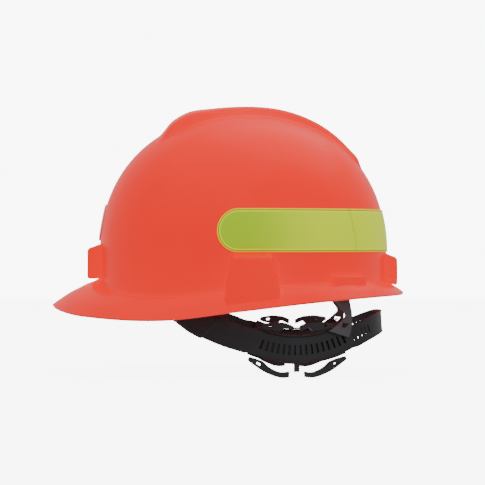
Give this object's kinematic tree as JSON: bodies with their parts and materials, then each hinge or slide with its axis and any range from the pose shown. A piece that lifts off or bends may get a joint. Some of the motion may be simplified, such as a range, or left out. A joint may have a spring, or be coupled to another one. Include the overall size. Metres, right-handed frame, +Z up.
{
  "type": "forestry helmet",
  "caption": "Slotted cap-style safety helmet with a crown ridge, peak, reflective side stripes, strap suspension and a squeeze-release ladder headband.",
  "frame": {"origin": "on the helmet's middle plane under the middle of the dome, level with the lowest point of the shell's side edge; the point about which the wearer's head holds it", "axes": "+Z up, -Y towards the peak, +X towards the wearer's left"},
  "size_m": [0.229, 0.2883, 0.2172],
  "materials": {
    "shell_plastic": "glossy high-visibility orange moulding",
    "badge": "blank moulded badge",
    "label": "blank grey label",
    "reflective_tape": "lime-yellow retroreflective tape",
    "webbing": "woven polyester webbing",
    "sweatband_cloth": "padded brow cloth",
    "harness_plastic": "satin black nylon",
    "hanger_plastic": "satin dark grey nylon"
  },
  "bodies": {
    "helmet": {"shell": "shell_plastic", "front_badge": "badge", "rear_label": "label", "stripe_left": "reflective_tape", "stripe_right": "reflective_tape", "stripe_rear": "reflective_tape", "crown_strap_upper": "webbing", "crown_strap_lower": "webbing", "front_left_hanger": "hanger_plastic", "front_right_hanger": "hanger_plastic", "rear_left_hanger": "hanger_plastic", "rear_right_hanger": "hanger_plastic", "headband": "harness_plastic", "sweatband": "sweatband_cloth", "adjuster_frame_left": "harness_plastic", "adjuster_frame_right": "harness_plastic"},
    "nape_strap": {"nape_strap": "harness_plastic"},
    "left_upper_front_wing": {"left_upper_front_wing": "harness_plastic"},
    "left_upper_rear_wing": {"left_upper_rear_wing": "harness_plastic"},
    "left_lower_front_wing": {"left_lower_front_wing": "harness_plastic"},
    "left_lower_rear_wing": {"left_lower_rear_wing": "harness_plastic"},
    "right_upper_front_wing": {"right_upper_front_wing": "harness_plastic"},
    "right_upper_rear_wing": {"right_upper_rear_wing": "harness_plastic"},
    "right_lower_front_wing": {"right_lower_front_wing": "harness_plastic"},
    "right_lower_rear_wing": {"right_lower_rear_wing": "harness_plastic"}
  },
  "joints": [
    {"name": "nape_strap_slide", "type": "hinge", "parent": "helmet", "child": "nape_strap", "pos_m": [0, 0.0406, 0.0608], "axis": [-1, 0, 0], "range_deg": [0, 8.85]},
    {"name": "left_upper_front_press", "type": "hinge", "parent": "helmet", "child": "left_upper_front_wing", "pos_m": [0.077, 0.01385, -0.0054], "axis": [-1, 0, 0], "range_deg": [0, 6], "stiffness_Nm_per_rad": 0.05},
    {"name": "left_upper_rear_press", "type": "hinge", "parent": "helmet", "child": "left_upper_rear_wing", "pos_m": [0.077, 0.06735, -0.0054], "axis": [1, 0, 0], "range_deg": [0, 6], "stiffness_Nm_per_rad": 0.05},
    {"name": "left_lower_front_press", "type": "hinge", "parent": "helmet", "child": "left_lower_front_wing", "pos_m": [0.077, 0.00333, -0.03145], "axis": [1, 0, 0], "range_deg": [0, 6], "stiffness_Nm_per_rad": 0.05},
    {"name": "left_lower_rear_press", "type": "hinge", "parent": "helmet", "child": "left_lower_rear_wing", "pos_m": [0.077, 0.07787, -0.03145], "axis": [-1, 0, 0], "range_deg": [0, 6], "stiffness_Nm_per_rad": 0.05},
    {"name": "right_upper_front_press", "type": "hinge", "parent": "helmet", "child": "right_upper_front_wing", "pos_m": [-0.077, 0.01385, -0.0054], "axis": [-1, 0, 0], "range_deg": [0, 6], "stiffness_Nm_per_rad": 0.05},
    {"name": "right_upper_rear_press", "type": "hinge", "parent": "helmet", "child": "right_upper_rear_wing", "pos_m": [-0.077, 0.06735, -0.0054], "axis": [1, 0, 0], "range_deg": [0, 6], "stiffness_Nm_per_rad": 0.05},
    {"name": "right_lower_front_press", "type": "hinge", "parent": "helmet", "child": "right_lower_front_wing", "pos_m": [-0.077, 0.00333, -0.03145], "axis": [1, 0, 0], "range_deg": [0, 6], "stiffness_Nm_per_rad": 0.05},
    {"name": "right_lower_rear_press", "type": "hinge", "parent": "helmet", "child": "right_lower_rear_wing", "pos_m": [-0.077, 0.07787, -0.03145], "axis": [-1, 0, 0], "range_deg": [0, 6], "stiffness_Nm_per_rad": 0.05}
  ],
  "couplings": [
    {"joint": "left_upper_rear_press", "follows": "left_upper_front_press", "ratio": 1},
    {"joint": "left_lower_front_press", "follows": "left_upper_front_press", "ratio": 1},
    {"joint": "left_lower_rear_press", "follows": "left_upper_front_press", "ratio": 1},
    {"joint": "right_upper_rear_press", "follows": "right_upper_front_press", "ratio": 1},
    {"joint": "right_lower_front_press", "follows": "right_upper_front_press", "ratio": 1},
    {"joint": "right_lower_rear_press", "follows": "right_upper_front_press", "ratio": 1}
  ]
}
